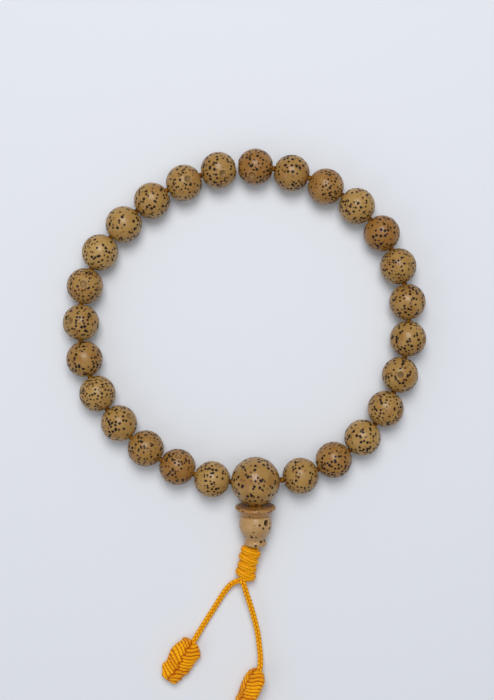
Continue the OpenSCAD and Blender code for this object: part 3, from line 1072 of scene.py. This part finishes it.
@dataclass
class KnotLine:
    """The middle of the snake knot, from below the stupa's foot to where the tails leave."""

    foot_end: float = 14.4 * MM
    gap: float = 0.2 * MM
    shift: float = 1.0 * MM
    lobe_length: float = 2.4 * MM
    exit_gap: float = 0.3 * MM
    left_exit: float = 1.4 * MM
    lobes: int = 4

    def foot(self) -> np.ndarray:
        """Middle of the stupa's foot."""
        return LAYOUT.place("stupa_spin") + self.foot_end * LAYOUT.axis("stupa_spin")

    def lobe(self, share: float) -> np.ndarray:
        """Middle of the knot at a share of the way from the first lobe to the last."""
        first = self.foot() + self.gap * LAYOUT.axis("stupa_spin")
        first = first + np.array([-self.shift, -self.lobe_length / 2, 0.0])
        left, right = LAYOUT.place("left_tail_swing"), LAYOUT.place("right_tail_swing")
        back = self.lobe_length / 2 + self.exit_gap
        last = np.array([left[0] + self.left_exit, left[1] + back, (left[2] + right[2]) / 2])
        return first + share * (last - first)


@dataclass
class EndKnot:
    """A flat knot wrapped round both ends of its core, its wraps meeting in a middle groove."""

    length: float = 10.4 * MM
    width: float = 5.9 * MM
    thickness: float = 3.4 * MM
    wraps: float = 12.0
    strand_rise: float = 0.26 * MM
    fullness: float = 2.6
    slant: float = 0.28
    looseness: float = 0.10 * MM
    groove_depth: float = 0.12 * MM
    groove_width: float = 0.09
    twist_rise: float = 0.06 * MM
    twist_pitch: float = 0.42 * MM
    rows: int = 300
    columns: int = 240
    seed: int = 11

    # Bumps of the skin: [place along, turn round it in degrees, size along, size round, height].
    BUMPS = (
        (0.05, 205, 0.06, 24, 0.75), (0.19, 5, 0.09, 30, 0.50), (0.40, 178, 0.09, 26, 0.28),
        (0.62, 8, 0.10, 26, 0.20), (0.78, 182, 0.08, 26, 0.34), (0.95, 150, 0.07, 24, 0.50),
        (0.97, 15, 0.07, 26, 0.45), (0.90, 80, 0.07, 30, 0.22), (0.12, 120, 0.06, 28, 0.28),
    )

    def grid(self) -> tuple[np.ndarray, np.ndarray]:
        """Skin of the knot in its own frame: x along it, y across it, z through it.

        The outline swells and closes as (1 - |2t - 1|^p)^(1/p), with t from 0 to 1 along it.
        Wraps lie across it, slanted so that each pair makes a shallow V, and those of one side
        are half a wrap from those of the other. Fine twists cross each wrap.

        Returns:
            Points, and the height of the strands from 0 to 1, which the cord material turns into a painted
            highlight on crowns and painted shade in grooves.
        """
        t = (1.0 - np.cos(np.linspace(0.02, math.pi - 0.02, self.rows))) / 2.0
        turn = np.linspace(0.0, 2.0 * math.pi, self.columns, endpoint=False)
        swell = (1.0 - np.abs(2.0 * t - 1.0) ** self.fullness) ** (1.0 / self.fullness)
        lean = 1.0 + 0.05 * np.sin(2.0 * math.pi * t)
        half_w = (self.width / 2 - self.strand_rise) * swell * lean
        half_t = (self.thickness / 2 - 0.7 * self.strand_rise) * swell
        draws = np.random.default_rng(self.seed)
        steps = np.linspace(0.0, 1.0, int(self.wraps) + 1)
        loose = draws.normal(0.0, self.looseness, size=(2, len(steps)))
        here = np.clip(t + 0.25 / self.wraps, 0.0, 1.0)
        there = np.clip(t - 0.25 / self.wraps, 0.0, 1.0)
        uneven = np.where(
            np.cos(turn)[None, :] > 0.0,
            np.interp(here, steps, loose[0])[:, None],
            np.interp(there, steps, loose[1])[:, None],
        )
        uneven = uneven * np.abs(np.cos(turn))[None, :] * swell[:, None]
        y = half_w[:, None] * np.cos(turn)
        z = half_t[:, None] * np.sin(turn)
        x = (t * self.length)[:, None] + 0.0 * turn
        side = np.sign(np.cos(turn))[None, :] + 0.0 * x
        pitch = self.length / self.wraps
        drift = 0.16 * MM * np.sin(3.0 * turn + 5.0 * t[:, None])
        drift = drift + 0.20 * MM * np.sin(11.0 * t[:, None] + side)
        phase = (x + self.slant * np.abs(y) * 2.0 + drift) / pitch + 0.25 * side
        strand = round_ridge(phase)
        reach = np.abs(y) / (self.width / 2)
        bent = reach * side + 0.10 * np.sin(7.0 * t)[:, None] + 0.07 * np.sin(math.pi * x / pitch)
        groove = bell(bent, self.groove_width) * np.abs(np.sin(turn))[None, :]
        wound = np.abs(y) + 0.8 * np.abs(z) + 0.35 * x * side
        twist = 0.5 + 0.5 * np.sin(2.0 * math.pi * wound / self.twist_pitch)
        # Heights drop in the middle groove; through the cord colour this paints shade into that groove.
        height = strand * (1.0 - 0.55 * groove) * (0.86 + 0.14 * np.sin(5.3 * np.floor(phase) + side))
        rise = self.strand_rise * height * np.sqrt(swell)[:, None] + self.twist_rise * twist * strand
        rise = rise - self.groove_depth * groove * np.sqrt(swell)[:, None] + uneven
        for at, way, long, wide, high in self.BUMPS:
            turned = np.degrees(np.angle(np.exp(1j * (turn - math.radians(way)))))
            reach_along = ((t - at) / long)[:, None] ** 2
            rise = rise + high * MM * np.exp(-reach_along - (turned / wide)[None, :] ** 2)
        tilt_y = np.cos(turn) / self.width + 0.0 * x
        tilt_z = np.sin(turn) / self.thickness + 0.0 * x
        normal = np.stack([0.0 * x, tilt_y, tilt_z], -1)
        points = np.stack([x, y, z], axis=-1) + rise[:, :, None] * unit(normal)
        # The second value colours the cord: painted highlight on crowns and twists, painted shade in the
        # grooves.
        return points, np.clip(1.12 * height * (0.66 + 0.34 * twist), 0.0, 1.0)

    def piece(self, name: str, start: np.ndarray, heading: float, roll: float) -> bpy.types.Object:
        """Builds the knot where its tail ends.

        Args:
            name: Name of the piece.
            start: End of the tail.
            heading: Direction of the knot seen from above, in degrees.
            roll: Turn about its own length, in degrees.

        Returns:
            The piece.
        """
        points, crown = self.grid()
        a, b = math.radians(heading), math.radians(roll)
        along = np.array([math.cos(a), math.sin(a), 0.0])
        left = np.array([-math.sin(a), math.cos(a), 0.0])
        across = math.cos(b) * left + math.sin(b) * UP
        through = -math.sin(b) * left + math.cos(b) * UP
        placed = start + points @ np.stack([along, across, through])
        caps = (start, start + self.length * along)
        return surface(name, placed, caps, {"crown": crown})


@dataclass
class Tassel:
    """The stem, the snake knot, and the two tails with their end knots."""

    braid: Braid = field(default_factory=Braid)
    line: KnotLine = field(default_factory=KnotLine)
    end_knot: EndKnot = field(default_factory=EndKnot)
    strand_side: float = 0.62 * MM
    left_heading: float = 236.0
    right_heading: float = 245.0
    right_roll: float = 55.0
    core_share: float = 0.92
    knot_braid: Braid = field(
        default_factory=lambda: Braid(
            diameter=1.95 * MM, columns=8, pitch=1.7 * MM, rise=0.11 * MM, slant=2.6, sides=88
        )
    )

    # Way of each tail from where it leaves the snake knot, in millimetres.
    LEFT_ROUTE = (
        (0, 0, 0), (-1.1, -0.5, -0.1), (-2.2, -1.3, -0.35), (-3.2, -2.5, -0.6),
        (-4.2, -4, -0.8), (-5.6, -6.3, -0.95), (-7.4, -9.1, -0.9), (-9.1, -11.8, -0.6),
        (-10.3, -13.7, 0),
    )
    RIGHT_ROUTE = (
        (0, 0, 0), (0.4, -1.1, -0.05), (0.8, -2.5, -0.25), (1.7, -5.3, -0.7),
        (2.6, -8.4, -1.05), (3.4, -11.8, -1.2), (3.8, -14.9, -1.05), (4, -17.3, -0.7),
        (3.8, -19.7, -0.2),
    )

    def tail_path(self, side: float, exit_at: np.ndarray, route: tuple, heading: float) -> np.ndarray:
        """Middle of one tail, from the stupa's foot to the core of its end knot.

        Args:
            side: -1 for the left strand and 1 for the right one.
            exit_at: Where the tail leaves the snake knot.
            route: Points of the free stretch, from there, in millimetres.
            heading: Direction of the end knot seen from above, in degrees.

        Returns:
            Points along the middle, evenly spaced.
        """
        down = LAYOUT.axis("stupa_spin")
        aside = np.array([side * self.strand_side, 0.0, 0.0])
        inside = [self.line.foot() - 0.4 * MM * down + aside]
        for share in (0.0, 0.45, 0.8):
            lift = np.array([0.0, 0.0, 0.5 * side * self.strand_side * share])
            inside.append(self.line.lobe(share) + (1.0 - share) * aside + lift)
        free = exit_at + MM * np.array(route, float)
        a = math.radians(heading)
        core = free[-1] + np.outer(
            np.linspace(0.15, self.core_share, 4) * self.end_knot.length,
            [math.cos(a), math.sin(a), 0.0],
        )
        points = np.concatenate([np.array(inside), free, core])
        return smooth_path(points, self.braid.rings(path_length(points)))

    def tails(self, knot: bpy.types.Object) -> None:
        """Args:
            knot: The snake knot, which the tails come out of; not used.
        """
        finish = CordFinish("braided_cord").material()
        wrapped = CordFinish("wrapped_cord", fineness=7000.0).material()
        rows = (
            ("left", -1.0, self.LEFT_ROUTE, self.left_heading, 0.0, [knot]),
            ("right", 1.0, self.RIGHT_ROUTE, self.right_heading, self.right_roll, []),
        )
        for name, side, route, heading, roll, more in rows:
            exit_at = LAYOUT.place(f"{name}_tail_swing")
            path = self.tail_path(side, exit_at, route, heading)
            tail = self.braid.tube(f"braided_tail_{name}", path, np.broadcast_to(UP, path.shape))
            dress(tail, finish)
            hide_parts(f"tail_{name}")
            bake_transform(tail)
            knot_at = exit_at + MM * np.array(route[-1])
            end = self.end_knot.piece(f"wrapped_knot_{name}", knot_at, heading, roll)
            dress(end, wrapped)
            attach(end, f"{name}_tail")
            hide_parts(f"end_knot_{name}")
            LOG.info("%s tail: %.1f mm", name, path_length(path) / MM)

    def lobe_ring(
        self, name: str, share: float, half: tuple[float, float], shift: float, lean: float
    ) -> bpy.types.Object:
        """Builds one loop of the snake knot, a braided ring round the knot's middle.

        The ring is an ellipse, cos t across and sin t through the knot, leaning along it.

        Args:
            name: Name of the piece.
            share: Place along the knot, from 0 at the first lobe to 1 at the last.
            half: Half width and half thickness of the ring's middle line.
            shift: Distance of the ring's middle to the right of the knot's.
            lean: Lean of the ring, in degrees.

        Returns:
            The piece.
        """
        middle = self.line.lobe(share) + np.array([shift, 0.0, 0.0])
        way = unit(self.line.lobe(1.0) - self.line.lobe(0.0))
        right = unit(np.cross(way, UP))
        right = right if right[0] > 0.0 else -right
        through = unit(np.cross(right, way))
        a = math.radians(lean)
        across = math.cos(a) * right + math.sin(a) * way
        t = np.linspace(0.0, 2.0 * math.pi, 150, endpoint=False)
        round_way = half[0] * np.cos(t)[:, None] * across + half[1] * np.sin(t)[:, None] * through
        return self.knot_braid.tube(name, middle + round_way, round_way, closed=True, flatten=0.86)

    def snake_knot(self) -> bpy.types.Object:
        """Builds the snake knot from two families of interlocked loops, joined into one piece.

        Returns:
            The piece.
        """
        rings = []
        last = self.line.lobes - 1
        for k in range(self.line.lobes):
            lean, half_width = (15.0, 1.50 * MM) if k % 2 else (8.0, 1.34 * MM)
            half = (half_width, 0.86 * MM)
            rings.append(self.lobe_ring(f"loop_left_{k}", k / last, half, -0.18 * MM, lean))
        small = (0.92 * MM, 0.66 * MM)
        for k in range(self.line.lobes):
            shift = (0.62 if k in (0, last) else 0.45) * MM
            rings.append(self.lobe_ring(f"loop_right_{k}", (k + 0.40) / last, small, shift, -18.0))
        bpy.ops.object.select_all(action="DESELECT")
        for ring in rings:
            ring.select_set(True)
        bpy.context.view_layer.objects.active = rings[0]
        bpy.ops.object.join()
        knot = rings[0]
        knot.name = "snake_knot"
        dress(knot, CordFinish("knotted_cord", fineness=6500.0).material())
        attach(knot, "stem")
        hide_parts("knotted_stem")
        LOG.info("%s: %d faces", knot.name, len(knot.data.polygons))
        return knot

    def strands(self) -> None:
        """Builds the two strands from the guru's middle through the stupa's bore."""
        guru, down = LAYOUT.place("stupa_spin"), LAYOUT.axis("stupa_spin")
        finish = CordFinish("bore_cord").material()
        for name, side in (("left", -1.0), ("right", 1.0)):
            aside = np.array([side * self.strand_side, 0.0, 0.0])
            top = guru + 1.2 * MM * down + aside
            ends = np.array([top, self.line.foot() - 0.3 * MM * down + aside])
            path = smooth_path(np.linspace(ends[0], ends[1], 6), self.braid.rings(path_length(ends)))
            strand = self.braid.tube(f"stem_strand_{name}", path, np.broadcast_to(UP, path.shape))
            dress(strand, finish)
            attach(strand, "stem")

    def build(self) -> None:
        """Builds the knot, the tails and the strands above them."""
        knot = self.snake_knot()
        self.tails(knot)
        self.strands()


@dataclass
class LoopCord:
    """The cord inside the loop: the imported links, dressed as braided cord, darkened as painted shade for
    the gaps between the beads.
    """

    def build(self) -> None:
        """Dresses the links and the piece inside the guru."""
        finish = CordFinish(
            "shade_darkened_loop_cord",
            # Dark brown colours: painted shade where the orange cord shows in the shaded gaps between
            # beads.
            crown=(0.34, 0.13, 0.006, 1.0),
            middle=(0.20, 0.06, 0.003, 1.0),
            groove=(0.09, 0.02, 0.001, 1.0),
            has_stitches=False,
        ).material()
        for name, node in frame["nodes"].items():
            if name.startswith("cord_link_") or name == "guru_cord":
                dress(node, finish)


def main() -> None:
    """Builds the camera and cords, then the rest of the mala."""
    logging.basicConfig(level=logging.INFO, format="%(name)s %(message)s")
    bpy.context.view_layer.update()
    studio = Studio()
    studio.camera()
    Tassel().build()
    LoopCord().build()
    SeedBeads().build()
    GuruBead().build()
    Stupa().build()
    studio.build()


if __name__ == "__main__":
    main()
